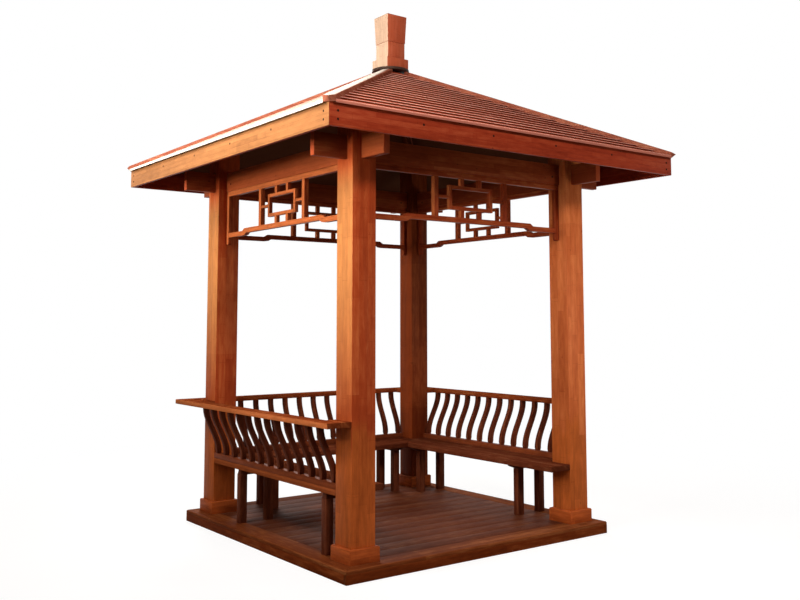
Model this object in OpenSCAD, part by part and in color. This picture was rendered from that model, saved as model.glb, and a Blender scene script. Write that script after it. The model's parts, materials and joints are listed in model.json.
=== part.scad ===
// Square bamboo pavilion: deck, four posts, lattice friezes, three benches
// with curved backrests, and a hipped roof of lapped boards with a finial.
// Millimetres. X runs along the open entrance side, Y from the entrance to
// the back, Z up from the ground. The origin is under the deck's centre.

/* [Deck] */
// Side of the square deck over its outer boards
deck_side = 2290; // [2260:10:2400]
// Height of the walking surface above the ground
deck_height = 84; // [78:1:110]
// Thickness of the floor boards
floor_thick = 24; // [20:1:30]
// Width of the border board round the floor
border_width = 150; // [120:5:180]
// Width of one floor board with its joint
board_pitch = 142; // [120:1:160]

/* [Posts] */
// Distance between post centres
post_spacing = 1916; // [1880:2:1940]
// Side of the square posts
post_size = 180; // [170:2:186]
// Thickness of the boards round a post's foot
base_thick = 20; // [15:1:25]
// Height of the boards round a post's foot
base_height = 92; // [70:1:110]

/* [Beams] */
// Thickness of the tie beams
beam_thick = 46; // [40:1:50]
// Height of the tie beams
beam_high = 150; // [140:1:160]
// Underside of the tie beams above the ground
beam_level = 2582; // [2400:1:2800]
// How far a beam end stands out from a post face
beam_reach = 243; // [200:1:270]
// Height of the posts above the tie beams
post_rise = 212; // [190:1:260]

/* [Friezes] */
// Thickness of the frieze rails and uprights
frieze_thick = 36; // [30:1:40]
// Height of the whole frieze below the tie beams
frieze_high = 349; // [320:1:420]
// Height of the frieze top rail
frieze_top = 40; // [34:1:44]
// Height of the frieze bottom rail
frieze_bottom = 36; // [30:1:40]
// Drop of the bottom rail's ends
frieze_step = 19; // [12:1:24]
// Width of the stiles at the frieze's ends
stile_wide = 35; // [30:1:40]
// Length of the stiles below the bottom rail's ends
stile_drop = 56; // [40:1:70]
// Length of the frieze's central ring
ring_long = 400; // [340:5:440]
// Gap between the ring and the rails above and below it
ring_gap = 52; // [45:1:60]
// Width of the ring's bars and of its short stubs
ring_bar = 25; // [20:1:30]
// Width of the two main uprights
upright_wide = 36; // [30:1:40]
// Distance of each main upright from the middle
upright_at = 316; // [290:1:340]

/* [Benches] */
// Top of the seats above the ground
seat_level = 508; // [490:1:530]
// Thickness of the seats
seat_thick = 41; // [35:1:45]
// How far a seat stands in from the posts' inner faces
seat_inner = 190; // [150:1:220]
// Height of the rail that carries the slats
foot_rail = 38; // [32:1:45]
// Width of the rail that carries the slats
foot_wide = 48; // [42:1:60]
// Number of slats in each backrest
slat_count = 13; // [11:1:13]
// Thickness of a slat along the bench
slat_thick = 20; // [16:1:24]
// Depth of a slat across the bench
slat_deep = 36; // [32:1:40]
// How far a slat's head stands out beyond its foot
slat_lean = 110; // [95:1:120]
// Distance between a post and the middle of the first slat
slat_first = 37; // [30:1:60]
// Underside of the handrails above the ground
rail_level = 905; // [880:1:930]
// Thickness of the handrails
rail_thick = 35; // [30:1:40]
// Width of the handrails
rail_wide = 105; // [95:1:115]
// Gap between a post and a handrail
rail_gap = 70; // [60:1:74]
// Side of the bench legs
leg_size = 45; // [40:1:50]
// Height of the bearers on the bench legs
bearer_high = 36; // [30:1:45]

/* [Roof] */
// Side of the square roof over its fascia boards
roof_side = 3042; // [3000:2:3100]
// Rise of the roof for each unit of run
roof_pitch = 0.4885; // [0.46:0.0005:0.52]
// Run of each lapped roof board
lap_run = 86; // [80:1:92]
// Step between one roof board and the next
lap_step = 12; // [10:1:14]
// Height of the shadow gap under each roof board's nose
lap_gap = 6; // [4:1:7]
// Thickness of the roof covering, straight down
roof_thick = 20; // [18:1:24]
// Overhang of the roof boards beyond the fascia
eave_over = 25; // [20:1:40]
// Height of the fascia boards
fascia_high = 140; // [120:1:160]
// Thickness of the fascia and deck side boards
edge_thick = 25; // [20:1:30]
// Width of the boards over the hips
cap_wide = 76; // [66:1:90]
// Height of the boards over the hips
cap_high = 41; // [36:1:48]
// Width of the hip rafters
rafter_wide = 50; // [44:1:60]
// Depth of the hip rafters
rafter_deep = 110; // [90:1:130]
// Side of the king post
king_side = 100; // [90:1:110]
// Length of the king post below the collar
king_long = 227; // [200:1:260]

/* [Finial] */
// Radius of the round collar
collar_radius = 148; // [140:1:160]
// Thickness of the round collar
collar_thick = 20; // [16:1:26]
// Side of the plinth
plinth_side = 205; // [190:1:220]
// Height of the plinth
plinth_high = 83; // [70:1:95]
// Side of the neck
neck_side = 163; // [150:1:175]
// Height of the neck
neck_high = 129; // [110:1:150]
// Side of the head at its top
head_top = 186; // [176:1:200]
// Side of the head at its foot
head_foot = 168; // [160:1:176]
// Height of the head
head_high = 218; // [190:1:250]

/* [Hidden] */
$fn = 96;
joint = 1;
hp = post_spacing / 2;
hs = post_size / 2;
outer = hp + hs;
inner = hp - hs;
rail_in = outer + rail_gap;
rail_out = rail_in + rail_wide;
rail_top = rail_level + rail_thick;
seat_in = inner - seat_inner;
seat_low = seat_level - seat_thick;
foot_top = seat_level + foot_rail;
hd = deck_side / 2;
floor_low = deck_height - floor_thick;
hr = roof_side / 2;
eave = hr + eave_over;
beam_top = beam_level + beam_high;
post_top = beam_top + post_rise;
// the hips fall by this much for each unit along them
hip_fall = roof_pitch / sqrt(2);
// heights over the centre of the rafters' tops, the roof boards and the caps
rafter_apex = post_top + rafter_deep + hip_fall * hp * sqrt(2);
roof_apex = rafter_apex + roof_thick + hip_fall * rafter_wide / 2;
cap_apex = rafter_apex + cap_high;
roof_in = king_side / sqrt(2) + joint;
collar_level = roof_apex - roof_pitch * roof_in + 2;
plinth_low = collar_level + collar_thick;
neck_low = plinth_low + plinth_high;
head_low = neck_low + neck_high;
rows = floor((eave - roof_in - 25) / lap_run);

// A block between two corners
module block(a, b) {
  translate(a) cube([b[0] - a[0], b[1] - a[1], b[2] - a[2]]);
}

// Turns a side piece drawn for the entrance side to side n, counting round
module side(n) {
  rotate([0, 0, 90 * n]) children();
}

// The wedge of plan between the two diagonals on the entrance side, less a
// gap that leaves an open mitre joint
module wedge(low, high, gap = 0, reach = 2 * roof_side) {
  translate([0, -gap, low]) linear_extrude(high - low)
    polygon([[0, 0], [-reach, -reach], [reach, -reach]]);
}

// A profile of (distance out, height) points run along the entrance side
module run_side(pts, half) {
  rotate([90, 0, 90]) translate([0, 0, -half]) linear_extrude(2 * half)
    polygon([for (p = pts) [-p[0], p[1]]]);
}

// ---- deck ----

module deck_joists() color("#5a2a16") {
  in = hd - edge_thick;
  joists = 6;
  for (i = [0 : joists - 1]) {
    x = -in + i * (2 * in - leg_size) / (joists - 1);
    block([x, -in, 0], [x + leg_size, in, floor_low]);
  }
}

// Side boards of the deck, each butting on the next with an open joint
module deck_sides() color("#7a3a1c")
  for (n = [0 : 3]) side(n)
    block([-hd, -hd, 0], [hd - edge_thick - joint, -hd + edge_thick, floor_low]);

// Floor boards along X, with a shallow joint line between each two
module floor_boards() color("#7a4026") {
  f = hd - border_width;
  n = floor(2 * f / board_pitch);
  first = -n * board_pitch / 2;
  rotate([90, 0, 90]) translate([0, 0, -f]) linear_extrude(2 * f)
    difference() {
      translate([-f, floor_low]) square([2 * f, floor_thick]);
      for (i = [0 : n])
        if (abs(first + i * board_pitch) < f - 20)
          translate([first + i * board_pitch - 2, deck_height - 5]) square([4, 6]);
    }
}

// Border boards with a rounded outer top edge, mitred at the corners
module floor_border() color("#84431f") {
  f = hd - border_width;
  r = 10;
  pts = concat([[f, floor_low], [hd, floor_low]],
    [for (a = [0 : 22.5 : 90]) [hd - r + r * cos(a), deck_height - r + r * sin(a)]],
    [[f, deck_height]]);
  for (n = [0 : 3]) side(n) intersection() {
    run_side(pts, hd);
    wedge(floor_low - 1, deck_height + 1, joint);
  }
}

// ---- posts and beams ----

// A post with the crossed slots for its two beams
module post(x, y) difference() {
  translate([x * hp - hs, y * hp - hs, deck_height])
    cube([post_size, post_size, post_top - deck_height]);
  translate([x * hp - hs - 1, y * hp - beam_thick / 2, beam_level])
    cube([post_size + 2, beam_thick, beam_high]);
  translate([x * hp - beam_thick / 2, y * hp - hs - 1, beam_level])
    cube([beam_thick, post_size + 2, beam_high]);
}

module post_front_left() color("#b4602e") post(-1, -1);
module post_front_right() color("#b4602e") post(1, -1);
module post_back_left() color("#b4602e") post(-1, 1);
module post_back_right() color("#b4602e") post(1, 1);

// Boards round the foot of each post, with an eased top edge
module post_bases() color("#b4602e") {
  r = 9;
  w = hs + base_thick;
  top = deck_height + base_height;
  pts = concat([[hs, deck_height], [w, deck_height]],
    [for (a = [0 : 30 : 90]) [w - r + r * cos(a), top - r + r * sin(a)]],
    [[hs, top]]);
  for (x = [-1, 1], y = [-1, 1]) translate([x * hp, y * hp, 0])
    for (n = [0 : 3]) side(n) intersection() {
      run_side(pts, w);
      wedge(deck_height - 1, top + 1);
    }
}

// A beam along X through two posts; upper is true where its lower half is cut
module beam(upper) difference() {
  block([-outer - beam_reach, -beam_thick / 2, beam_level],
        [outer + beam_reach, beam_thick / 2, beam_top]);
  for (x = [-1, 1])
    translate([x * hp - beam_thick / 2, -beam_thick,
               upper ? beam_level - 1 : beam_level + beam_high / 2])
      cube([beam_thick, 2 * beam_thick, beam_high / 2 + 1]);
}

module beam_front() color("#a8532a") translate([0, -hp, 0]) beam(false);
module beam_back() color("#a8532a") translate([0, hp, 0]) beam(false);
module beam_left() color("#a8532a") translate([-hp, 0, 0]) rotate([0, 0, 90]) beam(true);
module beam_right() color("#a8532a") translate([hp, 0, 0]) rotate([0, 0, 90]) beam(true);

// ---- friezes ----

// A bar of the lattice between two corners (across, up)
module bar(a, b, thick) {
  translate([a[0], -thick / 2, a[1]]) cube([b[0] - a[0], thick, b[1] - a[1]]);
}

// The frieze of one bay, drawn in the plane of the posts' centres
module frieze() {
  top = beam_level;
  under = top - frieze_top;
  foot = top - frieze_high;
  low = foot + frieze_bottom;
  mid = (under + low) / 2;
  rl = ring_long / 2;
  rh = (under - low) / 2 - ring_gap;
  thin = frieze_thick - 8;
  uw = upright_wide / 2;
  up = under + joint;
  stile_low = foot - frieze_step - stile_drop + stile_wide / 2;
  // top rail and end stiles with rounded feet
  bar([-inner, under], [inner, top], frieze_thick);
  for (s = [-1, 1]) {
    x = s > 0 ? inner - stile_wide : -inner;
    bar([x, stile_low], [x + stile_wide, up], frieze_thick);
    translate([x + stile_wide / 2, frieze_thick / 2, stile_low]) rotate([90, 0, 0])
      cylinder(d = stile_wide, h = frieze_thick);
  }
  // bottom rail, stepped down near both ends with eased shoulders
  rail_half = concat(
    [[0.655 * inner, low], [0.69 * inner, low - frieze_step], [inner - joint, low - frieze_step]],
    [[inner - joint, foot - frieze_step + 2], [0.68 * inner, foot - frieze_step],
     [0.645 * inner, foot - frieze_step + 4], [0.615 * inner, foot]]);
  translate([0, frieze_thick / 2, 0]) rotate([90, 0, 0]) linear_extrude(frieze_thick)
    polygon(concat(rail_half, [for (i = [6 : -1 : 0]) [-rail_half[i][0], rail_half[i][1]]]));
  for (s = [-1, 1]) {
    // main upright
    bar([s * upright_at - uw, low - joint], [s * upright_at + uw, up], frieze_thick);
    // ring
    bar([s * rl - (s > 0 ? ring_bar : 0), mid - rh],
        [s * rl + (s > 0 ? 0 : ring_bar), mid + rh], thin);
    bar([-rl, mid + s * rh - (s > 0 ? ring_bar : 0)],
        [rl, mid + s * rh + (s > 0 ? 0 : ring_bar)], thin);
    // stubs up, down and sideways
    x = s * 0.405 * rl;
    bar([x - 0.64 * ring_bar, mid + rh - joint], [x + 0.64 * ring_bar, up], thin);
    bar([x - 0.64 * ring_bar, low - joint], [x + 0.64 * ring_bar, mid - rh + joint], thin);
    bar([s > 0 ? rl - joint : -upright_at + uw - joint, mid - 0.4 * ring_bar],
        [s > 0 ? upright_at - uw + joint : -rl + joint, mid + 0.4 * ring_bar], thin);
  }
}

module frieze_front() color("#a8532a") translate([0, -hp, 0]) frieze();
module frieze_back() color("#a8532a") translate([0, hp, 0]) frieze();
module frieze_left() color("#a8532a") translate([-hp, 0, 0]) rotate([0, 0, 90]) frieze();
module frieze_right() color("#a8532a") translate([hp, 0, 0]) rotate([0, 0, 90]) frieze();

// ---- benches ----

module seat(pts) {
  translate([0, 0, seat_low]) linear_extrude(seat_thick) polygon(pts);
}

module seat_left() color("#6e341c")
  seat([[-outer, -inner], [-seat_in, -inner], [-seat_in, seat_in], [-inner, inner], [-outer, inner]]);
module seat_back() color("#6e341c")
  seat([[-inner, inner], [-seat_in, seat_in], [seat_in, seat_in], [inner, inner],
        [inner, outer], [-inner, outer]]);
module seat_right() color("#6e341c")
  seat([[seat_in, -outer], [inner, -outer], [inner, -inner], [outer, -inner],
        [outer, inner], [inner, inner], [seat_in, seat_in]]);

// S-curved line of a slat: u runs 0 to 1 from the foot rail to the handrail
foot_mid = outer - slat_deep / 2;
function ease(u) = u < 0.06 ? 0 : u > 0.97 ? 1 :
  let (t = (u - 0.06) / 0.91) t * t * (3 - 2 * t);
function slat_at(u) = foot_mid + slat_lean * ease(u);
steps = 18;

// Slats along the entrance side's outer edge, facing out, on a foot rail
module backrest() {
  rise = rail_level - foot_top;
  line = [for (i = [0 : steps]) [slat_at(i / steps), foot_top + rise * i / steps]];
  half = slat_deep / 2;
  pts = concat([[line[0][0] + half, foot_top - joint]],
    [for (i = [0 : steps]) [line[i][0] + half, line[i][1]]],
    [for (i = [steps : -1 : 0]) [line[i][0] - half, line[i][1]]],
    [[line[0][0] - half, foot_top - joint]]);
  pitch = 2 * (inner - slat_first) / (slat_count - 1);
  block([-inner, -outer, seat_level], [inner, -outer + foot_wide, foot_top]);
  for (i = [0 : slat_count - 1])
    translate([-inner + slat_first + i * pitch, 0, 0]) run_side(pts, slat_thick / 2);
}

module backrest_left() color("#5c2a18") side(-1) backrest();
module backrest_back() color("#5c2a18") side(2) backrest();
module backrest_right() color("#5c2a18") side(1) backrest();

module rail(pts) {
  translate([0, 0, rail_level]) linear_extrude(rail_thick) polygon(pts);
}

right_end = -inner - 0.24 * rail_gap;
module handrail_left() color("#a8532a")
  rail([[-rail_out, -outer], [-rail_in, -outer], [-rail_in, rail_in], [-rail_out, rail_out]]);
module handrail_back() color("#a8532a")
  rail([[-rail_out, rail_out], [-rail_in, rail_in], [rail_in, rail_in], [rail_out, rail_out]]);
module handrail_right() color("#a8532a")
  rail([[rail_out, right_end], [rail_out, rail_out], [rail_in, rail_in], [rail_in, right_end]]);

// Blocks that hold the handrails off the posts
module rail_blocks() color("#8a4424") {
  z = [rail_level, rail_top];
  block([-rail_in, -outer, z[0]], [-outer, -inner, z[1]]);
  block([-rail_in, inner, z[0]], [-outer, outer, z[1]]);
  block([outer, inner, z[0]], [rail_in, outer, z[1]]);
  block([outer, right_end - 0.7 * rail_gap, z[0]], [rail_in, right_end + 0.7 * rail_gap, z[1]]);
  for (s = [-1, 1])
    block([s > 0 ? inner : -outer, outer, z[0]], [s > 0 ? outer : -inner, rail_in, z[1]]);
}

// A pair of legs under a slant-ended bearer, across the bench at place p
module leg_pair(p) {
  l = leg_size / 2;
  t = bearer_high;
  a = seat_in + 0.16 * seat_inner;
  b = outer - 0.2 * leg_size;
  leg_in = inner - 1.5 * leg_size;
  leg_out = outer - 0.67 * leg_size;
  for (y = [leg_in, leg_out])
    block([p - l, -y - l, deck_height], [p + l, -y + l, seat_low - t]);
  translate([p, 0, 0]) run_side([[a, seat_low], [a, seat_low - t / 3],
    [leg_in - 1.13 * l, seat_low - t], [leg_out + l, seat_low - t], [b, seat_low - t / 3],
    [b, seat_low]], l);
}

// Leg places, as parts of the half bay from the middle of each bench
module bench_legs_left() color("#4a2414") side(-1)
  for (k = [0.84, -0.52]) leg_pair(k * inner);
module bench_legs_back() color("#4a2414") side(2)
  for (k = [0.645, -0.726]) leg_pair(k * inner);
module bench_legs_right() color("#4a2414") side(1)
  for (k = [-0.662, 0.755]) leg_pair(k * inner);

// ---- roof ----

// Height of the line through the roof boards' noses at a distance out
function edge_z(s) = roof_apex - roof_pitch * s;
// Height of the top of the board below a nose at nose_at, at distance s out
function under_z(s, nose_at) = edge_z(nose_at) - lap_step
  + (nose_at - s) * (roof_pitch * lap_run - lap_step) / lap_run;

// Lapped boards of one slope as (distance out, height): each board's nose
// stands over a shadow gap on the board below it and has an eased top edge
gap_deep = 14;
ease_out = 5;
ease_down = 3;
function nose(s) = [[s, edge_z(s) - lap_step + lap_gap], [s, edge_z(s) - ease_down],
  [s - ease_out, edge_z(s) + 1]];
function lap_pts() = concat(
  [[roof_in, edge_z(roof_in) - roof_thick], [eave, edge_z(eave) - roof_thick],
   [eave, edge_z(eave) - ease_down], [eave - ease_out, edge_z(eave) + 1]],
  [for (k = [1 : rows], q = [0 : 4])
    let (s = eave - k * lap_run)
    q == 0 ? [s - gap_deep, under_z(s - gap_deep, s)] :
    q == 1 ? [s - gap_deep, edge_z(s) - lap_step + lap_gap] : nose(s)[q - 2]],
  [[roof_in, edge_z(roof_in) - 1]]);

// One slope, cut back along the hips to the sides of the hip boards
module slope() intersection() {
  run_side(lap_pts(), eave + 10);
  wedge(fascia_low, collar_level, cap_wide / sqrt(2));
}

module roof_front() color("#7c3a2c") slope();
module roof_right() color("#7c3a2c") side(1) slope();
module roof_back() color("#7c3a2c") side(2) slope();
module roof_left() color("#7c3a2c") side(3) slope();

// Turns a hip piece drawn along X to hip n, counting round
module hip(n) {
  rotate([0, 0, 45 + 90 * n]) children();
}

// A board down a hip, as points of (distance out along the hip, height)
module hip_run(pts, wide) {
  rotate([90, 0, 0]) translate([0, 0, -wide / 2]) linear_extrude(wide) polygon(pts);
}

// Boards over the hips, on the hip rafters, with square ends at the eaves
module hip_caps() color("#c07a4a") {
  a = roof_in * sqrt(2) + cap_wide / 5;
  b = hr * sqrt(2);
  for (n = [0 : 3]) hip(n)
    hip_run([[a, rafter_apex - hip_fall * a], [b, rafter_apex - hip_fall * b],
      [b, cap_apex - hip_fall * b], [(cap_apex - collar_level) / hip_fall, collar_level],
      [a, collar_level]], cap_wide);
}

// Hip rafters from the king post to the fascia corners, notched on the posts
module hip_rafters() color("#6a3018") {
  a = king_side / 2;
  b = hr * sqrt(2);
  c = hr - edge_thick;
  for (n = [0 : 3]) hip(n) difference() {
    hip_run([[a, rafter_apex - hip_fall * a], [b, rafter_apex - hip_fall * b],
      [b, rafter_apex - hip_fall * b - rafter_deep],
      [a, rafter_apex - hip_fall * a - rafter_deep]], rafter_wide);
    rotate([0, 0, -45]) {
      block([inner, inner, beam_level], [outer, outer, post_top]);
      block([c, -hr, beam_level], [2 * hr, 2 * hr, roof_apex]);
      block([-hr, c, beam_level], [2 * hr, 2 * hr, roof_apex]);
    }
  }
}

module king_post() color("#6a3018") rotate([0, 0, 45])
  centred(king_side, collar_level - king_long, collar_level);

// Fascia boards under the roof boards' eaves, mitred with open joints
fascia_low = edge_z(hr) - roof_thick - fascia_high;
module eave_fascia() color("#b45c30") {
  a = hr - edge_thick;
  pts = [[a, fascia_low], [hr, fascia_low], [hr, edge_z(hr) - roof_thick],
         [a, edge_z(a) - roof_thick]];
  for (n = [0 : 3]) side(n) intersection() {
    run_side(pts, hr);
    wedge(fascia_low - 1, post_top, joint);
  }
}

// ---- finial ----

module centred(side_len, low, high) {
  h = side_len / 2;
  block([-h, -h, low], [h, h, high]);
}

module finial_collar() color("#3a2a20")
  translate([0, 0, collar_level]) cylinder(r = collar_radius, h = collar_thick);
module finial_plinth() color("#c07a4a") centred(plinth_side, plinth_low, neck_low);
module finial_neck() color("#c07a4a") centred(neck_side, neck_low, head_low);

// A head that widens upwards
module finial_head() color("#c07a4a") intersection_for (n = [0, 1])
  rotate([90, 0, 90 * n]) translate([0, 0, -head_top]) linear_extrude(2 * head_top)
    polygon([[-head_foot / 2, head_low], [head_foot / 2, head_low],
             [head_top / 2, head_low + head_high], [-head_top / 2, head_low + head_high]]);

deck_joists();
deck_sides();
floor_boards();
floor_border();
post_front_left();
post_front_right();
post_back_left();
post_back_right();
post_bases();
beam_front();
beam_back();
beam_left();
beam_right();
frieze_front();
frieze_back();
frieze_left();
frieze_right();
seat_left();
seat_back();
seat_right();
backrest_left();
backrest_back();
backrest_right();
handrail_left();
handrail_back();
handrail_right();
rail_blocks();
bench_legs_left();
bench_legs_back();
bench_legs_right();
hip_rafters();
king_post();
eave_fascia();
roof_front();
roof_back();
roof_left();
roof_right();
hip_caps();
finial_collar();
finial_plinth();
finial_neck();
finial_head();
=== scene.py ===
"""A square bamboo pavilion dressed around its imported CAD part: oiled bamboo boards with eased
edges, joined strips, screws, a pale floor, soft lamps and a camera. Metres throughout."""

import json
import math
import random

import bmesh
import bpy
from mathutils import Matrix, Vector


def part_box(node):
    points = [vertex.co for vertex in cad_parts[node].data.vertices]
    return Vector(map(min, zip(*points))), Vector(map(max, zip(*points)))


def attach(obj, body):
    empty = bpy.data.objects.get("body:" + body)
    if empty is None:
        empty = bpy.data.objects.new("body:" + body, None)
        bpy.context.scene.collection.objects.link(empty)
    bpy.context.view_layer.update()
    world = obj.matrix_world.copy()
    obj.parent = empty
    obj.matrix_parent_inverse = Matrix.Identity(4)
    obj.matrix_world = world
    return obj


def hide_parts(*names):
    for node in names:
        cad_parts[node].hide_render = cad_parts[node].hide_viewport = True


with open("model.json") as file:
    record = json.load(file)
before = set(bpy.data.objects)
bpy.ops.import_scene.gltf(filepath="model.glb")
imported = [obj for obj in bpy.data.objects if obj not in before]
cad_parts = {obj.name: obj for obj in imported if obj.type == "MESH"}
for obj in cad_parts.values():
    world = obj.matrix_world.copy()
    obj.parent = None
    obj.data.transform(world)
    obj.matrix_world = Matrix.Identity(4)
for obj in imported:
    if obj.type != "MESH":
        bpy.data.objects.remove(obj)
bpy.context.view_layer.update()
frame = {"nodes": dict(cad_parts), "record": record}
nodes = frame["nodes"]
SLOT_OF = {p["node"]: p["material_slot"] for p in frame["record"]["subparts"]}

AXES = {"X": Vector((1, 0, 0)), "Y": Vector((0, 1, 0)), "Z": Vector((0, 0, 1))}
SIDES = (("front", "X"), ("back", "X"), ("left", "Y"), ("right", "Y"))
BENCHES = (("left", "Y"), ("right", "Y"), ("back", "X"))
ROUND_FROM = math.radians(30)  # edges that turn more than this are eased

# The bamboo's grain. How fine each texture is, per metre along and across the grain:
FIBRE, STREAK, MOTTLE, FLECK = (2.2, 170.0), (1.1, 34.0), (9.0, 42.0), (7.0, 16.0)
PATCH = 2.3                    # slow changes of tone over the whole piece, per metre
BLOCK_LONG = 1.3               # a block of boards shares a tone over this length
NODE_APART, NODE_HALF = 0.27, 0.0065  # the cane's nodes: metres apart, and half a mark's share
NODE_FROM = 0.35               # the share of node marks left out
SEAM_WIDE = 0.0011
FLECK_CORE, FLECK_RIM, FLECK_FROM = 0.03, 0.075, 0.52
TONE_STOPS = (0.08, 0.5, 0.92)  # where the deep, middle and pale colours stand
# The first set of scales below is for the painted light on faces turned to the left.
PAINTED_LIGHT_SCALES, NEAR_FOOT = (0.66, 1.0, 1.34), (0.62, 1.0, 1.5)  # one colour made deep, middle, pale
# The first share below is for the painted highlight on the eased edges.
EDGE_HIGHLIGHT_SHARE, MARKED, SEAMED, FLECKED = 0.3, 0.45, 0.42, 0.85    # how much of each shows


# ---------------------------------------------------------------- materials

class Nodes:
    """Short calls that add shader nodes to one material or world."""

    def __init__(self, owner):
        owner.use_nodes = True
        self.tree = owner.node_tree
        self.tree.nodes.clear()

    def add(self, kind, **settings):
        node = self.tree.nodes.new(kind)
        for name, value in settings.items():
            setattr(node, name, value)
        return node

    def put(self, socket, value):
        if isinstance(value, bpy.types.NodeSocket):
            self.tree.links.new(value, socket)
        else:
            socket.default_value = value

    def fill(self, node, *values):
        """Puts values on a node's sockets in their order and gives its first result."""
        for socket, value in zip(node.inputs, values):
            self.put(socket, value)
        return node.outputs[0]

    def math(self, operation, *values):
        return self.fill(self.add("ShaderNodeMath", operation=operation), *values)

    def chain(self, operation, values):
        result = values[0]
        for value in values[1:]:
            result = self.math(operation, result, value)
        return result

    def plus(self, *values):
        return self.chain("ADD", values)

    def minus(self, first, second):
        return self.math("SUBTRACT", first, second)

    def times(self, *values):
        return self.chain("MULTIPLY", values)

    def over(self, first, second):
        return self.math("DIVIDE", first, second)

    def vector(self, x, y, z=0.0):
        return self.fill(self.add("ShaderNodeCombineXYZ"), x, y, z)

    def split(self, vector):
        node = self.add("ShaderNodeSeparateXYZ")
        self.put(node.inputs[0], vector)
        return node.outputs

    def stored(self, name):
        """What dress() wrote on the mesh under this name."""
        return self.add("ShaderNodeAttribute", attribute_name=name).outputs

    def scatter(self, x, y=0.0, z=0.0):
        """A steady number from 0 to 1 for each whole-number cell."""
        node = self.add("ShaderNodeTexWhiteNoise", noise_dimensions="3D")
        self.put(node.inputs["Vector"], self.vector(x, y, z))
        return node.outputs["Value"]

    def cloud(self, place, scale=1.0, detail=2.0, rough=0.5):
        node = self.add("ShaderNodeTexNoise")
        for name, value in (("Vector", place), ("Scale", scale), ("Detail", detail), ("Roughness", rough)):
            self.put(node.inputs[name], value)
        return node.outputs["Fac"]

    def fade(self, value, low, high, start=0.0, end=1.0):
        return self.fill(self.add("ShaderNodeMapRange", interpolation_type="SMOOTHSTEP"),
                         value, low, high, start, end)

    def blend(self, share, under, over):
        """The colour under, with a share of the plain colour or ramp over it."""
        node = self.add("ShaderNodeMix", data_type="RGBA")
        self.put(node.inputs["Factor"], share)
        self.put(node.inputs["A"], under)
        self.put(node.inputs["B"], (*over, 1) if isinstance(over, tuple) else over)
        return node.outputs["Result"]

    def ramp(self, value, stops):
        node = self.add("ShaderNodeValToRGB")
        line = node.color_ramp.elements
        while len(line) < len(stops):
            line.new(0.5)
        for stop, (place, colour) in zip(line, stops):
            stop.position = place
            stop.color = (*colour, 1)
        self.put(node.inputs[0], value)
        return node.outputs[0]

    def shader(self, kind, **inputs):
        """A shader with its sockets set by name, spaces written as underscores."""
        node = self.add(kind)
        for name, value in inputs.items():
            self.put(node.inputs[name.replace("_", " ")], value)
        return node.outputs[0]

    def mixed(self, share, first, second):
        return self.fill(self.add("ShaderNodeMixShader"), share, first, second)

    def seen(self):
        """1 for what is seen straight, mirrored or through, and 0 for the light it gives."""
        paths = self.add("ShaderNodeLightPath").outputs
        mirrored = self.math("MAXIMUM", paths["Is Glossy Ray"], paths["Is Transmission Ray"])
        return self.math("MAXIMUM", paths["Is Camera Ray"], mirrored)

    def surface(self, shader, kind="ShaderNodeOutputMaterial"):
        self.put(self.add(kind).inputs["Surface"], shader)


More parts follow.
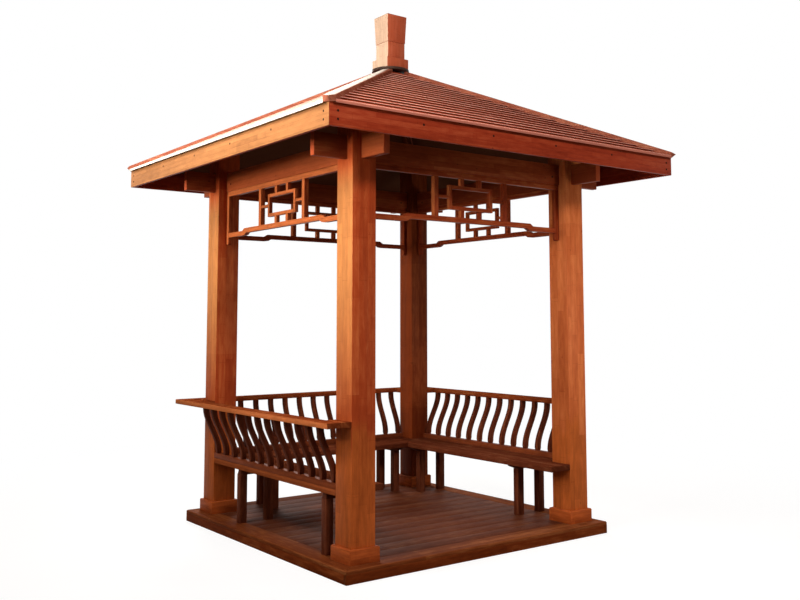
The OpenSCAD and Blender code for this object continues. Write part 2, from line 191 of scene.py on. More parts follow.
def bamboo(name, deep, mid, pale, strip=0.03, run=0.9, rough=0.45, shine=0.03, tone=1.0,
           painted_left_light=None, sun_on="side", rise=(-2.0, -1.0), shade=(8.0, 9.0), left_of=0.0,
           end_dark=0.4, end_colour=None, under=None, nose=None,
           foot=None, foot_at=(0.86, 0.98, 0.3)):
    """Pressed bamboo board: strips along the grain, each of its own tone, with fine fibres,
    thin marks across a strip where the cane had its nodes, small dark flecks and eased edges
    painted a little paler as a highlight along the edges.
    deep, mid, pale: its colours. strip, run: a strip's width and the lengths it is joined from.
    rough, shine: how dull and how mirror-like the oil is. tone: how much the tones differ.
    painted_left_light: a paler colour painted on faces turned to -X to the left of left_of, or
    with sun_on "top" on tops leaning that way: painted light from that side. It fades out
    below the heights in rise, a painted fall-off of that light towards the feet, and above
    those in shade, painted shade under the eave. end_dark, end_colour: how much the boards'
    ends differ and their colour, near black if none is given. under: a darker colour painted
    on faces that look down, as painted shade.
    nose: a paler colour painted on a lapped board's nose as a painted highlight, and a near-black
    one in the gap below it as painted shade.
    foot: the browner colour of the lengths below the heights in foot_at; its last number is
    how far apart the lengths' tones move that height."""
    material = bpy.data.materials.new(name)
    n = Nodes(material)
    u, v, w = n.split(n.stored("grain")["Vector"])
    coordinates = n.add("ShaderNodeTexCoord").outputs
    whole = coordinates["Object"]
    facing, spot = n.split(coordinates["Normal"]), n.split(whole)

    # strips and the lengths they are joined from
    across = n.over(v, strip)
    row, in_row = n.math("FLOOR", across), n.math("FRACT", across)
    row_tone = n.scatter(row, w, 3.0)
    along = n.plus(n.over(u, run), n.times(row_tone, 11.0))
    piece, in_piece = n.math("FLOOR", along), n.math("FRACT", along)
    piece_tone = n.scatter(row, piece, w)
    to_row, to_end = [n.times(n.minus(0.5, n.math("ABSOLUTE", n.minus(inside, 0.5))), size)
                      for inside, size in ((in_row, strip), (in_piece, run))]
    seam = n.fade(n.math("MINIMUM", to_row, to_end), 0.0, SEAM_WIDE, 1.0, 0.0)

    # fibres, slow changes of tone, node marks and flecks
    def stretched(fine, third):
        return n.vector(n.times(u, fine[0]), n.times(v, fine[1]), third)

    fibre = n.cloud(stretched(FIBRE, n.times(w, 9.0)), detail=3.0, rough=0.6)
    streak = n.cloud(stretched(STREAK, w))
    mottle = n.cloud(stretched(MOTTLE, n.plus(w, 7.0)), rough=0.6)
    block = n.math("FLOOR", n.plus(n.over(u, BLOCK_LONG), n.times(w, 0.61)))
    block_tone = n.scatter(block, w, 9.0)
    patch = n.cloud(whole, PATCH)
    node_at = n.over(u, NODE_APART)
    in_node = n.math("FRACT", n.plus(node_at, n.times(piece_tone, 7.0)))
    mark = n.fade(n.math("ABSOLUTE", n.minus(in_node, 0.5)), 0.0, NODE_HALF, 1.0, 0.0)
    chosen = n.math("GREATER_THAN", n.scatter(row, n.math("FLOOR", node_at), 5.0), NODE_FROM)
    mark = n.times(mark, chosen)
    dots = n.add("ShaderNodeTexVoronoi", feature="F1")
    n.put(dots.inputs["Vector"], stretched(FLECK, w))
    n.put(dots.inputs["Scale"], 1.0)
    fleck = n.fade(dots.outputs["Distance"], FLECK_CORE, FLECK_RIM, 1.0, 0.0)
    fleck = n.times(fleck, n.math("GREATER_THAN", n.cloud(n.vector(u, v, w), 5.0), FLECK_FROM))

    # colour
    value = 0.5
    for part, much in ((piece_tone, 0.34), (block_tone, 0.26), (mottle, 0.85),
                       (fibre, 0.4), (streak, 0.35), (patch, 0.4)):
        value = n.plus(value, n.times(n.minus(part, 0.5), much * tone))

    def shades(colour, scales):
        return n.ramp(value, [(stop, tuple(c * k for c in colour)) for stop, k in zip(TONE_STOPS, scales)])

    colour = n.ramp(value, list(zip(TONE_STOPS, (deep, mid, pale))))
    dark = tuple(c * 0.28 for c in deep)
    lit = 0.0
    # Painted light: faces turned to the left get a paler colour; it fades out towards the feet as a painted
    # fall-off and under the eave as painted shade.
    if painted_left_light:
        to_left = n.times(facing[0], -1.0)
        if sun_on == "side":
            lit = n.fade(to_left, 0.3, 0.9)
        else:
            lit = n.times(n.fade(to_left, 0.05, 0.2), n.fade(facing[2], 0.4, 0.7))
        lit = n.times(lit, n.math("LESS_THAN", spot[0], left_of),
                      n.fade(spot[2], *shade, 1.0, 0.0), n.fade(spot[2], *rise))
        colour = n.blend(lit, colour, shades(painted_left_light, PAINTED_LIGHT_SCALES))
    if foot:
        height = n.plus(spot[2], n.times(piece_tone, foot_at[2]))
        colour = n.blend(n.fade(height, *foot_at[:2], 0.85, 0.0), colour, shades(foot, NEAR_FOOT))
    # Painted highlight: the eased edges are made paler.
    colour = n.blend(n.times(n.stored("edge_highlight")["Fac"], EDGE_HIGHLIGHT_SHARE), colour, pale)
    # Painted highlight on each lapped board's nose, and painted shade in the gap below it.
    if nose:
        step = n.stored("step")["Fac"]
        board_tone = n.fade(n.scatter(w, 4.0), 0.1, 0.9, 0.6, 1.0)
        painted_highlight = n.times(n.math("MAXIMUM", step, 0.0), board_tone, n.minus(1.0, lit))
        gap = n.times(n.math("MAXIMUM", n.times(step, -1.0), 0.0), n.fade(lit, 0.0, 1.0, 1.0, 0.2))
        colour = n.blend(gap, n.blend(painted_highlight, colour, nose[0]), nose[1])
    colour = n.blend(n.times(n.stored("end")["Fac"], end_dark), colour, end_colour or dark)
    # Painted shade: faces that look down get a darker colour.
    if under:
        colour = n.blend(n.fade(n.times(facing[2], -1.0), 0.5, 0.9), colour, under)
    for what, much in ((mark, MARKED), (seam, SEAMED), (fleck, FLECKED)):
        colour = n.blend(n.times(what, much), colour, dark)

    # satin oil, a little duller in the seams and on the darker fibres
    dull = n.plus(n.times(n.minus(fibre, 0.5), 0.22), rough)
    dull = n.plus(dull, n.times(seam, 0.25))
    relief = n.minus(n.times(fibre, 0.25), n.plus(seam, n.times(fleck, 0.6)))
    bump = n.shader("ShaderNodeBump", Strength=0.5, Distance=0.0009, Height=relief)
    n.surface(n.shader("ShaderNodeBsdfPrincipled", Base_Color=colour, Roughness=dull,
                       Specular_IOR_Level=shine, Normal=bump))
    return material


def screw_steel():
    """Screw heads painted near black as painted shade of their countersunk holes, with a little wear."""
    material = bpy.data.materials.new("screw_steel")
    n = Nodes(material)
    wear = n.cloud(n.add("ShaderNodeTexCoord").outputs["Object"], 260.0)
    colour = n.ramp(wear, [(0.35, (0.012, 0.006, 0.004)), (0.7, (0.035, 0.018, 0.01))])
    n.surface(n.shader("ShaderNodeBsdfPrincipled", Base_Color=colour,
                       Roughness=n.plus(n.times(wear, 0.3), 0.5), Specular_IOR_Level=0.02))
    return material


# The posts' paler left faces are painted light, fading out towards the feet and, as painted shade, under the
# eave.
POST = dict(deep=(0.27, 0.034, 0.008), mid=(0.40, 0.060, 0.0145), pale=(0.55, 0.13, 0.036),
            strip=0.06, run=0.6, tone=0.85, painted_left_light=(0.42, 0.155, 0.046),
            rise=(0.6, 1.9), shade=(2.36, 2.62), foot=(0.47, 0.108, 0.021))
# In each finish below, the pale colour for faces turned to the left is painted light; on the hip boards' tops
# and the roof's left slope it is a near-white painted highlight.
FINISH = {
    "post_wood": bamboo("post_bamboo", **POST),
    # The beams' pale orange end colour is painted light on their lit ends.
    "beam_wood": bamboo(
        "beam_bamboo", (0.16, 0.022, 0.006), (0.25, 0.043, 0.012), (0.40, 0.10, 0.03), strip=0.036, run=0.6,
        shine=0.02, tone=0.7, end_dark=1.0, end_colour=(0.44, 0.078, 0.026), painted_left_light=(0.34, 0.068, 0.019)),
    "frieze_wood": bamboo(
        "frieze_bamboo", (0.15, 0.020, 0.006), (0.25, 0.037, 0.010), (0.42, 0.10, 0.03), strip=0.018,
        shine=0.02, painted_left_light=(0.42, 0.105, 0.03)),
    "fascia_wood": bamboo(
        "fascia_bamboo", (0.21, 0.022, 0.0075), (0.32, 0.040, 0.0135), (0.43, 0.078, 0.028), strip=0.035,
        run=0.55, shine=0.02, tone=0.95, painted_left_light=(0.315, 0.130, 0.047)),
    "finial_wood": bamboo(
        "finial_bamboo", (0.38, 0.062, 0.024), (0.49, 0.105, 0.045), (0.56, 0.16, 0.08),
        run=0.4, shine=0.02, tone=0.6, painted_left_light=(0.43, 0.29, 0.20)),
    "cap_wood": bamboo(
        "hip_board_bamboo", (0.20, 0.048, 0.026), (0.33, 0.098, 0.056), (0.54, 0.22, 0.12), strip=0.019,
        shine=0.0, tone=0.7, painted_left_light=(0.84, 0.74, 0.64), sun_on="top", end_dark=0.6),
    "roof_wood": bamboo(
        "roof_board_bamboo", (0.22, 0.027, 0.010), (0.37, 0.052, 0.020), (0.56, 0.13, 0.064), strip=0.045,
        run=1.6, shine=0.0, under=(0.115, 0.044, 0.022), nose=((1.0, 0.50, 0.38), (0.05, 0.004, 0.002)),
        painted_left_light=(0.72, 0.60, 0.52)),
    "rail_wood": bamboo(
        "handrail_bamboo", (0.14, 0.023, 0.006), (0.23, 0.043, 0.011), (0.42, 0.12, 0.036), strip=0.035,
        shine=0.0, painted_left_light=(0.52, 0.145, 0.045)),
    "seat_wood": bamboo(
        "seat_bamboo", (0.08, 0.016, 0.006), (0.13, 0.030, 0.012), (0.26, 0.085, 0.036), strip=0.05,
        run=1.0, rough=0.5, shine=0.0, painted_left_light=(0.29, 0.068, 0.020)),
    "slat_wood": bamboo(
        "slat_bamboo", (0.06, 0.012, 0.005), (0.105, 0.022, 0.009), (0.25, 0.07, 0.026), strip=0.035,
        run=1.2, shine=0.01, foot=(0.20, 0.044, 0.014), foot_at=(0.545, 0.549, 0.0)),
    "leg_wood": bamboo(
        "leg_bamboo", (0.06, 0.013, 0.006), (0.12, 0.028, 0.011), (0.21, 0.06, 0.026),
        run=1.0, rough=0.5, shine=0.02),
    "floor_wood": bamboo(
        "floor_bamboo", (0.065, 0.014, 0.006), (0.118, 0.030, 0.0115), (0.25, 0.095, 0.045), strip=0.142,
        run=1.3, rough=0.6, shine=0.015),
    "floor_border_wood": bamboo(
        "floor_border_bamboo", (0.11, 0.022, 0.006), (0.175, 0.040, 0.010), (0.32, 0.10, 0.032), strip=0.05,
        run=1.1, rough=0.62, shine=0.01),
    "deck_side_wood": bamboo(
        "deck_side_bamboo", (0.09, 0.016, 0.004), (0.165, 0.030, 0.006), (0.29, 0.075, 0.02),
        run=1.1, rough=0.62, shine=0.01),
    "rafter_wood": bamboo(
        "rafter_bamboo", (0.04, 0.008, 0.004), (0.07, 0.015, 0.006), (0.13, 0.036, 0.014),
        run=1.0, rough=0.5, shine=0.0),
    "collar_wood": bamboo(
        "collar_bamboo", (0.025, 0.014, 0.01), (0.05, 0.028, 0.02), (0.09, 0.055, 0.04),
        run=0.7, rough=0.4),
}
# Pieces that differ from the others of their kind.
OWN_FINISH = {
    "post_bases": bamboo("post_base_bamboo", **{
        **POST, "foot": (0.33, 0.068, 0.014), "run": 0.24, "tone": 1.2}),
    # The front-right post's paler copy of the post colours is painted light.
    "post_front_right": bamboo("light_post_bamboo", **{
        **POST, "deep": (0.33, 0.060, 0.015), "mid": (0.50, 0.116, 0.031), "pale": (0.66, 0.2, 0.06)}),
    # The back-right post's darker copy of the post colours is painted shade.
    "post_back_right": bamboo("dark_post_bamboo", **{
        **POST, "deep": (0.11, 0.015, 0.004), "mid": (0.165, 0.029, 0.0065), "pale": (0.30, 0.07, 0.02),
        "painted_left_light": (0.24, 0.044, 0.010), "rise": (-2.0, -1.0), "left_of": 2.0, "foot": None}),
}
STEEL = screw_steel()


# ---------------------------------------------------------------- pieces

def islands(bm):
    """The separate boards of a mesh, as lists of faces."""
    bm.faces.ensure_lookup_table()
    seen, found = set(), []
    for first in bm.faces:
        if first in seen:
            continue
        board, waiting = [], [first]
        seen.add(first)
        while waiting:
            face = waiting.pop()
            board.append(face)
            for edge in face.edges:
                for other in edge.link_faces:
                    if other not in seen:
                        seen.add(other)
                        waiting.append(other)
        found.append(board)
    return found


def longest(faces):
    """The axis along which a board reaches furthest, level runs at a slant included."""
    straight_ways, slant_ways = ((1, 0, 0), (0, 1, 0), (0, 0, 1)), ((1, 1, 0), (1, -1, 0))
    points = [v.co for f in faces for v in f.verts]
    spans = {}
    for way in straight_ways + slant_ways:
        axis = Vector(way).normalized()
        reach = [p.dot(axis) for p in points]
        spans[way] = max(reach) - min(reach)
    straight, slant = max(straight_ways, key=spans.get), max(slant_ways, key=spans.get)
    return Vector(slant if spans[slant] > 1.2 * spans[straight] else straight).normalized()


def dress(bm, name, along="longest", ease=0.0018, boards=None, turn=None, step=None):
    """Eases the edges, lays the grain on each board and makes the piece.
    along: an axis name, "longest" for each board's own, or a function of a face.
    boards: a function of a face that tells boards of one solid apart.
    turn: a matrix that puts the finished mesh in its place.
    step: a function of a face, 1 on the nose of a lapped board and -1 in the gap below it."""
    edges = [e for e in bm.edges if len(e.link_faces) == 2 and e.calc_face_angle(0.0) > ROUND_FROM]
    bevelled = bmesh.ops.bevel(bm, geom=edges, offset=ease, offset_type="OFFSET", segments=2, profile=0.5,
                           affect="EDGES", clamp_overlap=True, material=-1)
    bevelled = set(bevelled["faces"])
    grain = bm.loops.layers.float_vector.new("grain")
    edge_highlight = bm.faces.layers.float.new("edge_highlight")
    end = bm.faces.layers.float.new("end")
    step_on = bm.faces.layers.float.new("step") if step else None
    draw = random.Random(name)
    for board in islands(bm):
        island_axis = longest(board) if along == "longest" else None
        tones = {}
        for face in board:
            axis = island_axis or (along(face) if callable(along) else AXES[along])
            key = boards(face) if boards else 0
            if key not in tones:
                tones[key] = (draw.random(), draw.uniform(0, 40), draw.uniform(0, 3))
            tone, shift_u, shift_v = tones[key]
            side = face.normal.cross(axis)
            # The bevel faces are marked for the paler painted highlight on the eased edges.
            face[edge_highlight] = 1.0 if face in bevelled else 0.0
            face[end] = 1.0 if side.length < 0.5 and face not in bevelled else 0.0
            if side.length < 0.5:  # an end of the board, cut across the grain
                side = face.normal.orthogonal().normalized()
                axis = face.normal.cross(side)
            side.normalize()
            if abs(side.z) > 0.7 and side.z < 0 or abs(side.z) <= 0.7 and side.x + side.y < 0:
                side.negate()
            for loop in face.loops:
                place = loop.vert.co
                loop[grain] = (place.dot(axis) + shift_u, place.dot(side) + shift_v + 5, tone * 50)
            if step:
                face[step_on] = step(face)
    for face in bm.faces:
        face.smooth = True
    for edge in bm.edges:
        edge.smooth = edge.calc_face_angle(0.0) < ROUND_FROM
    if turn is not None:
        bm.transform(turn)
    return finished(bm, name)


def finished(bm, name):
    """The mesh as an object in the scene, at the origin."""
    mesh = bpy.data.meshes.new(name)
    bm.to_mesh(mesh)
    bm.free()
    piece = bpy.data.objects.new(name, mesh)
    bpy.context.scene.collection.objects.link(piece)
    return piece


def place(piece, slot, node):
    """Puts a piece in its node's stead."""
    piece.data.materials.append(OWN_FINISH.get(node, FINISH[slot]))
    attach(piece, "root")
    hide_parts(node)


def solid_of(node):
    """The CAD node's solid as a clean mesh: doubles merged, flat faces whole again."""
    bm = bmesh.new()
    bm.from_mesh(nodes[node].data)
    bmesh.ops.remove_doubles(bm, verts=bm.verts, dist=1e-5)
    bmesh.ops.dissolve_limit(bm, angle_limit=math.radians(0.5), use_dissolve_boundaries=False,
                             verts=bm.verts, edges=bm.edges)
    return bm


def board_piece(node, name, along="longest", ease=0.0018, boards=None, step=None):
    place(dress(solid_of(node), name, along, ease, boards, step=step), SLOT_OF[node], node)


def cut(bm, point, normal):
    bmesh.ops.bisect_plane(bm, geom=bm.verts[:] + bm.edges[:] + bm.faces[:], plane_co=point,
                           plane_no=normal, dist=1e-6)


# deck
board_piece("deck_joists", "joists", "Y", 0.002)
board_piece("deck_sides", "deck_side_boards", ease=0.002)
board_piece("floor_boards", "floor_boards_laid", "X", 0.0012)
board_piece("floor_border", "floor_border_boards", ease=0.0015)

# posts and the boards round their feet
for corner in ("front_left", "front_right", "back_left", "back_right"):
    board_piece("post_" + corner, "post_" + corner + "_shaft", "Z", 0.004)
board_piece("post_bases", "post_base_boards", lambda f: AXES["Z"].cross(f.normal).normalized()
            if abs(f.normal.z) < 0.5 else AXES["X"], 0.0015)

# tie beams
for where, axis in SIDES:
    board_piece("beam_" + where, "tie_beam_" + where, axis, 0.0025)

# benches: seats, S-curved slats on a foot rail, handrails, and legs under bearers
SEAT_LOW, RAIL_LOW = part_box("seat_left")[0].z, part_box("backrest_left")[0].z
RAIL_TOP, BEARER_LOW = RAIL_LOW + 0.039, SEAT_LOW - 0.036
SLAT_HALF, SLAT_SHARE, LEG_SHARE = 0.010, 1.7, 1.22
for where, axis in BENCHES:
    board_piece("seat_" + where, "seat_board_" + where, axis, 0.004)


def stouter(bm, moves, share):
    """Moves each vertex that has a middle in moves away from it, along the axes that aren't None."""
    for v, middle in moves:
        for k in range(3):
            if middle[k] is not None:
                v.co[k] = middle[k] + (v.co[k] - middle[k]) * share
    bm.normal_update()


def middles(values, apart):
    """The middles of the groups that the values fall into."""
    groups = []
    for value in sorted(values):
        if groups and value - groups[-1][-1] < apart:
            groups[-1].append(value)
        else:
            groups.append([value])
    return [(g[0] + g[-1]) / 2 for g in groups]


def nearest(spots, value):
    return min(spots, key=lambda m: abs(m - value))


def below_along(height, low_axis):
    """A grain that runs along low_axis below a height and up above it."""
    return lambda f: AXES[low_axis] if f.calc_center_median().z < height else AXES["Z"]


def slats(where, axis):
    """The slats, as stout as they look, on their foot rail."""
    bm, k = solid_of("backrest_" + where), "XYZ".index(axis)
    spots = middles([v.co[k] for v in bm.verts if v.co.z > RAIL_TOP + 0.001], 0.05)
    moves = []
    for v in bm.verts:
        middle = nearest(spots, v.co[k])
        if v.co.z > RAIL_TOP - 0.001 and abs(v.co[k] - middle) < SLAT_HALF + 0.001:
            moves.append((v, [middle if j == k else None for j in range(3)]))
    stouter(bm, moves, SLAT_SHARE)
    cut(bm, (0, 0, RAIL_TOP), (0, 0, 1))
    piece = dress(bm, "backrest_slats_" + where, below_along(RAIL_TOP, axis), 0.003)
    place(piece, "slat_wood", "backrest_" + where)


def bench_legs(where, bearer_axis):
    """The legs, a little stouter than their solids, under bearers that run across the seat."""
    bm = solid_of("bench_legs_" + where)
    feet = [v.co.copy() for v in bm.verts if v.co.z < SEAT_LOW - 0.1]
    centres = [middles([f[k] for f in feet], 0.06) for k in (0, 1)]
    moves = [(v, [nearest(centres[0], v.co.x), nearest(centres[1], v.co.y), None])
             for v in bm.verts if any(abs(f.x - v.co.x) + abs(f.y - v.co.y) < 0.001 for f in feet)]
    stouter(bm, moves, LEG_SHARE)
    cut(bm, (0, 0, BEARER_LOW), (0, 0, 1))
    piece = dress(bm, "bench_stands_" + where,
                  lambda f: AXES[bearer_axis] if f.calc_center_median().z > BEARER_LOW else AXES["Z"], 0.0025)
    place(piece, "leg_wood", "bench_legs_" + where)


for where, axis in BENCHES:
    slats(where, axis)
    board_piece("handrail_" + where, "handrail_board_" + where, axis, 0.004)
board_piece("rail_blocks", "handrail_blocks", ease=0.002)
for where, axis in BENCHES:
    bench_legs(where, "X" if axis == "Y" else "Y")

# roof
board_piece("hip_rafters", "hip_rafter_beams", ease=0.002)
board_piece("king_post", "king_post_shaft", "Z", 0.003)
board_piece("eave_fascia", "fascia_boards", ease=0.002)
EAVE = abs(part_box("roof_front")[0].y)
LAP_RUN, GAP_DEEP, NOSE_EASE = 0.086, 0.014, 0.005
GAP_FACE = 0.06  # square metres; larger faces that look down are the roof's underside


def lap_step(face, out):
    """1 on a lapped board's nose and its eased edge, -1 on the back and top of the gap below."""
    inward = EAVE - abs(face.calc_center_median()[out])
    if face.normal.z < -0.5:
        return -1.0 if inward > 0.04 and face.calc_area() < GAP_FACE else 0.0
    behind = inward % LAP_RUN
    if min(behind, LAP_RUN - behind) < NOSE_EASE:
        return 1.0 if face.normal.z > 0.3 else 0.3
    return -1.0 if abs(behind - GAP_DEEP) < 0.003 and abs(face.normal.z) < 0.3 else 0.0


for where, axis in SIDES:
    out = 1 if axis == "X" else 0
    board_piece("roof_" + where, "roof_boards_" + where, axis, 0.0012,
                lambda f, k=out: int((EAVE - abs(f.calc_center_median()[k]) - 0.002) / LAP_RUN),
                lambda f, k=out: lap_step(f, k))


def hip_boards():
    """The boards over the hips, their ends mitred to a corner in line with the eaves."""
    bm = solid_of("hip_caps")
    corner, reach, close = abs(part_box("hip_caps")[0].x), 1.4, 1e-4
    for way in ((1, -1, 0), (1, 1, 0)):
        cut(bm, (0, 0, 0), way)
    for v in bm.verts:
        x, y = abs(v.co.x), abs(v.co.y)
        if abs(x - y) < close and x > 1.5:
            others = [e.other_vert(v).co for e in v.link_edges]
            inner = [o for o in others if abs(o.x) < reach][0]
            fall = (inner.z - v.co.z) / (x - abs(inner.x))
            if v.co.z > max(o.z for o in others if abs(o.x) > reach) - close:
                # the top corner only, so that the end is undercut
                v.co = Vector((math.copysign(corner, v.co.x), math.copysign(corner, v.co.y),
                               v.co.z - fall * (corner - x)))
    bm.normal_update()
    place(dress(bm, "hip_boards", ease=0.003), "cap_wood", "hip_caps")


hip_boards()

# finial
board_piece("finial_collar", "finial_ring", "X", 0.003)
for part in ("plinth", "neck", "head"):
    board_piece("finial_" + part, "finial_" + part + "_block", "Z", 0.003)


# friezes, put together from their separate bars
THICK, THIN = 0.036, 0.028       # the frame's bars and the ring's, front to back
FOOT_DOWN = 0.349                # from the frieze's top to its foot rail's underside
TOP_BAR, FOOT_BAR = 0.040, 0.036
END_HALF, UPRIGHT_AT, UPRIGHT_HALF = 0.0175, 0.316, 0.018
RING_REACH, RING_BAR, RING_CLEAR = 0.2, 0.025, 0.052
STRUT_AT, STRUT_HALF, SIDE_STRUT_TO, SIDE_STRUT_HALF = 0.081, 0.016, 0.298, 0.01
# The foot rail's right half: shares of the half width, with the drop under the foot or the ledge.
STEP_UNDER = ((0.615, 0.0), (0.645, 0.015), (0.68, 0.019), (0.959, 0.019))
STEP_OVER = ((0.959, 0.019), (0.69, 0.019), (0.655, 0.0))


def frieze(where, axis):
    low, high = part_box("frieze_" + where)
    half = (high["XYZ".index(axis)] - low["XYZ".index(axis)]) / 2
    top, foot = high.z, high.z - FOOT_DOWN
    under, ledge = top - TOP_BAR, foot + FOOT_BAR
    middle, ring = (under + ledge) / 2, (under - ledge) / 2 - RING_CLEAR
    bm = bmesh.new()

    def block(x0, x1, z0, z1, deep=THIN):
        made = bmesh.ops.create_cube(bm, size=1.0)["verts"]
        bmesh.ops.scale(bm, vec=(x1 - x0, deep, z1 - z0), verts=made)
        bmesh.ops.translate(bm, vec=((x0 + x1) / 2, 0, (z0 + z1) / 2), verts=made)

    def cutout(points):
        face = bm.faces.new([bm.verts.new((x, -THICK / 2, z)) for x, z in points])
        made = bmesh.ops.extrude_face_region(bm, geom=[face])["geom"]
        bmesh.ops.translate(bm, vec=(0, THICK, 0), verts=[g for g in made if isinstance(g, bmesh.types.BMVert)])

    block(-half, half, under, top, THICK)
    right = [(x, foot - drop) for x, drop in STEP_UNDER] + [(x, ledge - drop) for x, drop in STEP_OVER]
    cutout([(x * half, z) for x, z in right] + [(-x * half, z) for x, z in reversed(right)])
    for s in (-1, 1):
        end_x, round_z = s * (half - END_HALF), low.z + END_HALF
        arc = [(end_x + END_HALF * math.cos(a), round_z + END_HALF * math.sin(a))
               for a in (math.pi + k * math.pi / 8 for k in range(9))]
        cutout(arc + [(end_x + END_HALF, under), (end_x - END_HALF, under)])
        block(s * UPRIGHT_AT - UPRIGHT_HALF, s * UPRIGHT_AT + UPRIGHT_HALF, ledge, under, THICK)
        block(*sorted((s * RING_REACH, s * (RING_REACH - RING_BAR))), middle - ring, middle + ring)
        block(-RING_REACH + RING_BAR, RING_REACH - RING_BAR,
              *sorted((middle + s * ring, middle + s * (ring - RING_BAR))))
        for low_z, high_z in ((middle + ring, under), (ledge, middle - ring)):
            block(s * STRUT_AT - STRUT_HALF, s * STRUT_AT + STRUT_HALF, low_z, high_z)
        block(*sorted((s * RING_REACH, s * SIDE_STRUT_TO)), middle - SIDE_STRUT_HALF, middle + SIDE_STRUT_HALF)
    bmesh.ops.recalc_face_normals(bm, faces=bm.faces)
    at = Vector(((low.x + high.x) / 2, (low.y + high.y) / 2, 0))
    turn = Matrix.Translation(at) @ Matrix.Rotation(0 if axis == "X" else math.pi / 2, 4, "Z")
    place(dress(bm, "frieze_lattice_" + where, turn=turn), "frieze_wood", "frieze_" + where)


for where, axis in SIDES:
    frieze(where, axis)


# screws
SCREW_RADIUS, SCREW_DEEP, PROUD = 0.0088, 0.0012, 0.0001
CORNER_SCREW, CORNER_HEIGHTS = 1.461, (0.040, 0.089)    # pairs at the fascia's corners
RAFTER_SCREWS, RAFTER_HEIGHT = (-0.848, -0.283, 0.283, 0.848), 0.085
BEAM_SCREW_IN, BEAM_SCREW_UP = 0.07, 0.055


def screws(name, spots):
    """Countersunk screw heads at (point, outward normal), all one mesh."""
    bm = bmesh.new()
    for point, normal in spots:
        turn = normal.to_track_quat("Z", "Y").to_matrix().to_4x4()
        bmesh.ops.create_cone(bm, cap_ends=True, segments=12, radius1=SCREW_RADIUS,
                              radius2=SCREW_RADIUS * 0.72, depth=SCREW_DEEP,
                              matrix=Matrix.Translation(point) @ turn)
    piece = finished(bm, name)
    piece.data.materials.append(STEEL)
    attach(piece, "root")


fascia_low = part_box("eave_fascia")[0]
spots = []
for quarter in range(4):
    spin = Matrix.Rotation(quarter * math.pi / 2, 3, "Z")
    for x, z in ([(side * CORNER_SCREW, z) for side in (-1, 1) for z in CORNER_HEIGHTS]
                 + [(x, RAFTER_HEIGHT) for x in RAFTER_SCREWS]):
        point = Vector((x, -abs(fascia_low.y) - PROUD, fascia_low.z + z))
        spots.append((spin @ point, spin @ Vector((0, -1, 0))))
screws("fascia_screws", spots)
spots = []
post_inner = abs(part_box("post_front_left")[1].x)
for where, axis in SIDES:
    low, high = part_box("beam_" + where)
    along = "XYZ".index(axis)
    over = 1 - along
    for end in (-1, 1):
        for face in (-1, 1):
            point, normal = Vector((0, 0, low.z + BEAM_SCREW_UP)), Vector((0, 0, 0))
            point[along] = end * (post_inner - BEAM_SCREW_IN)
            point[over] = (high[over] if face > 0 else low[over]) + face * PROUD
            normal[over] = face
            spots.append((point, normal))
screws("beam_screws", spots)


# ---------------------------------------------------------------- stage, lamps and camera

FLOOR_COLOUR, FLOOR_GLOW, FLOOR_NEAR, FLOOR_FAR = (0.28, 0.276, 0.272, 1), 0.82, 2.0, 5.5
WHITE, SOFT = (1, 1, 1, 1), (1.0, 0.95, 0.9, 1)


def stage_floor():
    """A pale floor that keeps the shadow near the object and is plain white further out."""
    bm = bmesh.new()
    bmesh.ops.create_grid(bm, x_segments=1, y_segments=1, size=40)
    floor = finished(bm, "studio_floor")
    material = bpy.data.materials.new("studio_floor")
    n = Nodes(material)
    reach = n.add("ShaderNodeVectorMath", operation="LENGTH")
    n.put(reach.inputs[0], n.add("ShaderNodeTexCoord").outputs["Object"])
    far = n.fade(reach.outputs["Value"], FLOOR_NEAR, FLOOR_FAR)
    matt = n.shader("ShaderNodeBsdfDiffuse", Color=FLOOR_COLOUR)
    fill = n.shader("ShaderNodeEmission", Color=WHITE, Strength=FLOOR_GLOW)
    glow = n.shader("ShaderNodeEmission", Color=WHITE, Strength=1.0)
    near = n.fill(n.add("ShaderNodeAddShader"), matt, fill)
    n.surface(n.mixed(n.seen(), matt, n.mixed(far, near, glow)))
    floor.data.materials.append(material)


def white_world(level):
    world = bpy.data.worlds.new("studio")
    bpy.context.scene.world = world
    n = Nodes(world)
    soft = n.shader("ShaderNodeBackground", Color=SOFT, Strength=level)
    white = n.shader("ShaderNodeBackground", Color=WHITE, Strength=1.0)
    n.surface(n.mixed(n.seen(), soft, white), "ShaderNodeOutputWorld")


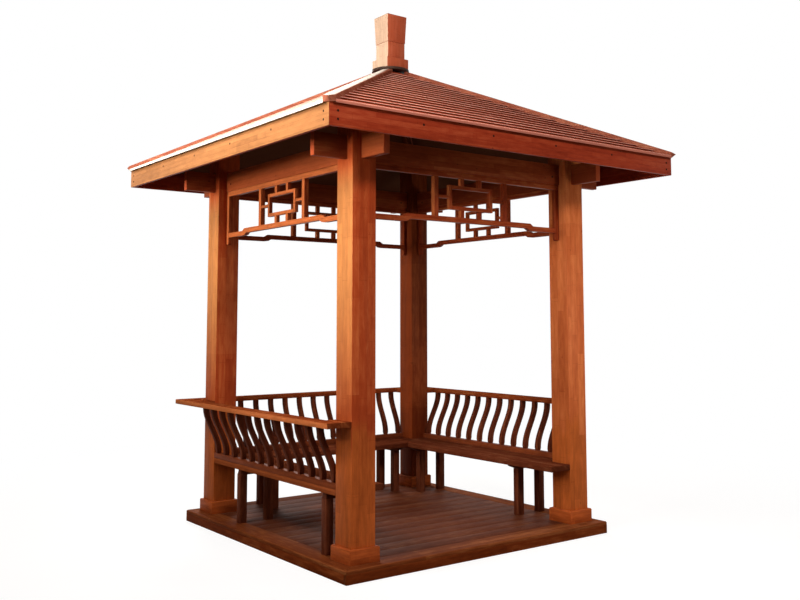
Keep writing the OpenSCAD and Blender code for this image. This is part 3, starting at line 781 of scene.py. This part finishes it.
def lamp(name, at, aim, wide, high, power, spread=180, colour=(1.0, 0.97, 0.92)):
    """A soft box; a spread below 180 degrees is a grid that keeps its light near the aim."""
    light = bpy.data.lights.new(name, "AREA")
    light.shape = "RECTANGLE"
    light.size, light.size_y = wide, high
    light.energy = power
    light.spread = math.radians(spread)
    light.color = colour
    lamp_object = bpy.data.objects.new(name, light)
    lamp_object.location = at
    lamp_object.visible_camera = False
    lamp_object.rotation_euler = (Vector(aim) - Vector(at)).to_track_quat("-Z", "Y").to_euler()
    bpy.context.scene.collection.objects.link(lamp_object)


stage_floor()
white_world(0.13)
lamp("left_near_softbox", (-4.0, -1.2, 2.75), (0, -1.5, 2.55), 1.6, 1.2, 31, 80)
lamp("left_back_softbox", (-5.5, 1.6, 3.0), (0, 1.0, 3.2), 2.0, 1.5, 39, 60)
lamp("left_top_softbox", (-4.5, -0.3, 5.2), (-1.0, 0, 3.0), 2.5, 1.5, 70, 90)
lamp("front_softbox", (-2.0, -7.0, 5.4), (0, 0, 1.8), 1.4, 1.0, 250, 180, (1.0, 0.89, 0.87))
lamp("right_front_softbox", (2.3, -3.0, 1.5), (0.9, -1, 1.5), 1.0, 1.0, 9, 90)
lamp("back_softbox", (2.5, 7.5, 5.0), (0, 0.4, 2.0), 2.5, 2.0, 390)
lamp("right_back_softbox", (4.5, 4.0, 3.4), (0.4, 0.2, 0.4), 2.0, 1.6, 30)
lamp("right_softbox", (6.0, -0.5, 3.0), (0, 0, 1.2), 2.5, 2.0, 25)

EYE, YAW, PITCH, ROLL = (-4.245238, -5.878902, 1.548968), 0.6468013, 0.0923839, -0.0013761
SENSOR, LENS, SHIFT_X, SHIFT_Y = 36, 41.873, -0.01256, -0.08034
ahead = Vector((math.sin(YAW) * math.cos(PITCH), math.cos(YAW) * math.cos(PITCH), math.sin(PITCH)))
right = Vector((math.cos(YAW), -math.sin(YAW), 0))
up = right.cross(ahead)
right, up = right * math.cos(ROLL) + up * math.sin(ROLL), up * math.cos(ROLL) - right * math.sin(ROLL)
camera_data = bpy.data.cameras.new("camera")
camera_data.sensor_width = SENSOR
camera_data.lens = LENS
camera_data.shift_x, camera_data.shift_y = SHIFT_X, SHIFT_Y
camera = bpy.data.objects.new("camera", camera_data)
camera.matrix_world = Matrix.Translation(EYE) @ Matrix((right, up, -ahead)).transposed().to_4x4()
bpy.context.scene.collection.objects.link(camera)
bpy.context.scene.camera = camera
bpy.context.scene.view_settings.view_transform = "Standard"
